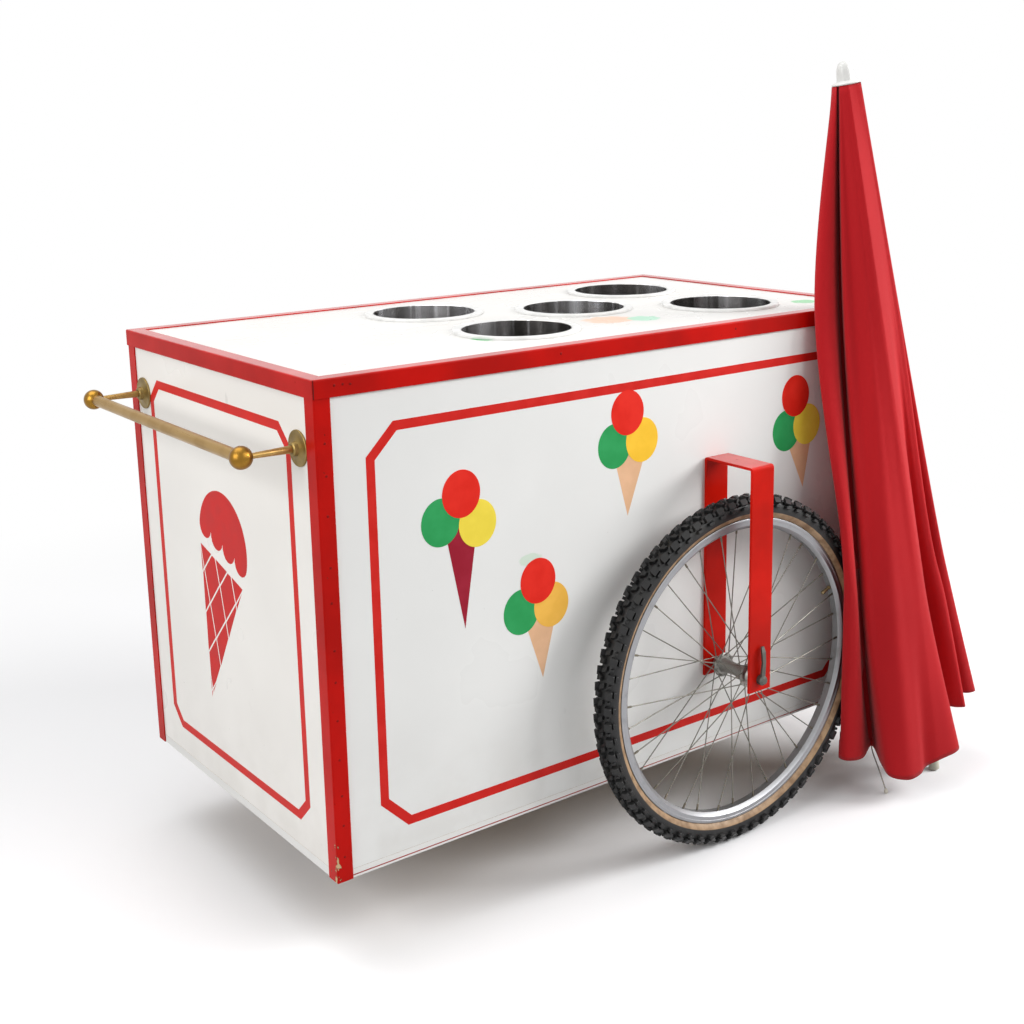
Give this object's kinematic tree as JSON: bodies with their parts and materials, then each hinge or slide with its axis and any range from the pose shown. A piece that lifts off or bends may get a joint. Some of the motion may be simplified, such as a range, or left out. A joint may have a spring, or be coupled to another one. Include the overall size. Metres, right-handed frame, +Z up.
{
  "type": "ice cream cart",
  "caption": "White box cart with open round wells in its lid, red edge angles, brass push rail, knobbly wire wheels in folded brackets, and a furled red parasol leaning on it.",
  "frame": {"origin": "on the floor, under the middle of the parked cart's outline, parasol and handle included", "axes": "+X along the cart from the push rail towards its front end, +Y towards the side without the parasol, +Z up"},
  "size_m": [1.5784, 1.0412, 1.4239],
  "materials": {
    "white_board": "white gloss laminate on plywood",
    "plain_board": "bare plywood, worn",
    "ring_white": "satin white",
    "red_paint": "gloss red, chipped at the corners",
    "bracket_red": "satin bright red",
    "steel": "polished stainless",
    "brass": "aged, lightly polished",
    "tyre": "matt black rubber with tan sidewalls",
    "aluminium": "satin, dulled",
    "dark_metal": "dull grey plating",
    "zinc": "bright zinc plating",
    "grey_rubber": "matt dark grey",
    "red_cloth": "red woven cotton",
    "pole_grey": "grey green enamel",
    "white_plastic": "moulded, slightly yellowed"
  },
  "bodies": {
    "cart": {"side_panel_near": "white_board", "side_panel_far": "white_board", "end_panel_handle": "white_board", "end_panel_front": "white_board", "lid_panel": "white_board", "floor_panel": "plain_board", "well_liner_1": "steel", "well_liner_2": "steel", "well_liner_3": "steel", "well_liner_4": "steel", "well_liner_5": "steel", "well_ring_1": "ring_white", "well_ring_2": "ring_white", "well_ring_3": "ring_white", "well_ring_4": "ring_white", "well_ring_5": "ring_white", "corner_post_near_handle": "red_paint", "corner_post_near_front": "red_paint", "corner_post_far_handle": "red_paint", "corner_post_far_front": "red_paint", "lid_trim_near": "red_paint", "lid_trim_far": "red_paint", "lid_trim_handle": "red_paint", "lid_trim_front": "red_paint", "handle_rail": "brass", "handle_ball_near": "brass", "handle_ball_far": "brass", "handle_post_near": "brass", "handle_post_far": "brass", "handle_rosette_near": "brass", "handle_rosette_far": "brass", "bracket_near": "bracket_red", "axle_near": "dark_metal", "quick_release_near": "dark_metal", "bracket_far": "bracket_red", "axle_far": "dark_metal", "quick_release_far": "dark_metal", "caster_plate": "zinc", "parasol_pole": "pole_grey", "parasol_cap": "white_plastic", "parasol_canopy": "red_cloth"},
    "wheel_near": {"tyre_near": "tyre", "wire_wheel_near": "aluminium"},
    "wheel_far": {"tyre_far": "tyre", "wire_wheel_far": "aluminium"},
    "caster_swivel": {"caster_fork": "zinc"},
    "caster_roller": {"caster_wheel": "grey_rubber"}
  },
  "joints": [
    {"name": "wheel_near_spin", "type": "hinge", "parent": "cart", "child": "wheel_near", "pos_m": [0.13514, -0.37268, 0.332], "axis": [0, 1, 0], "continuous": true},
    {"name": "wheel_far_spin", "type": "hinge", "parent": "cart", "child": "wheel_far", "pos_m": [0.13514, 0.44732, 0.332], "axis": [0, 1, 0], "continuous": true},
    {"name": "caster_swivel_turn", "type": "hinge", "parent": "cart", "child": "caster_swivel", "pos_m": [-0.45586, 0.03732, 0.0625], "axis": [0, 0, 1], "continuous": true},
    {"name": "caster_wheel_spin", "type": "hinge", "parent": "caster_swivel", "child": "caster_roller", "pos_m": [-0.48986, 0.03732, 0.0625], "axis": [0, 1, 0], "continuous": true}
  ]
}
